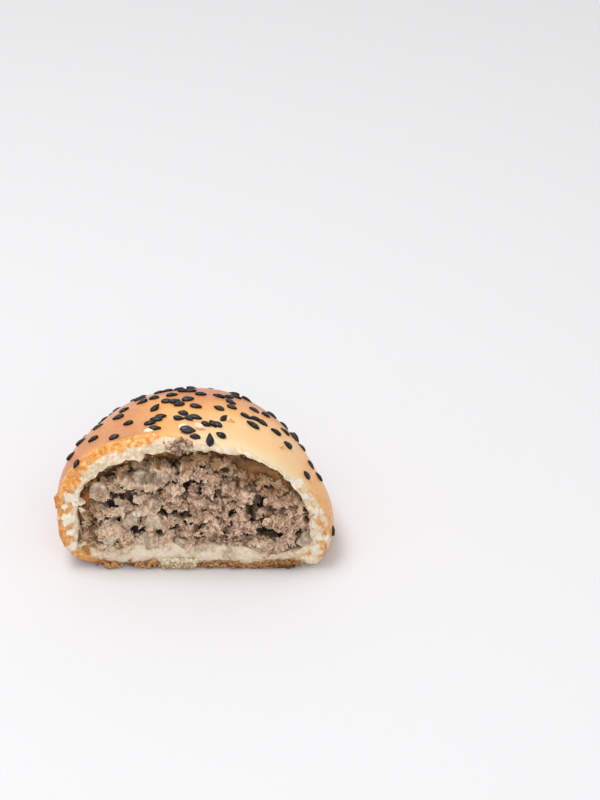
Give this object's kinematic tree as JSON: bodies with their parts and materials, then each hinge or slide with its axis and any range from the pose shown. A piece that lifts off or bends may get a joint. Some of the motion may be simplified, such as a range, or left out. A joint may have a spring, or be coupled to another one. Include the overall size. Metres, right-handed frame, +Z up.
{
  "type": "half piroshki",
  "caption": "Half of a baked meat bun, cut across: a browned crust with black sesame round a coarse minced meat filling, tapering to a pinched tip.",
  "frame": {"origin": "middle of the half's box, on the flat base that it rests on", "axes": "+Z up, the cut face looks along -Y, the pinched tip points along +Y"},
  "size_m": [0.0678, 0.0624, 0.0382],
  "materials": {
    "crust": "egg-washed, baked golden brown, pale porous crumb where it is cut",
    "filling": "moist, coarse minced meat with translucent onion"
  },
  "bodies": {
    "root": {"crust": "crust", "filling": "filling"}
  },
  "joints": []
}
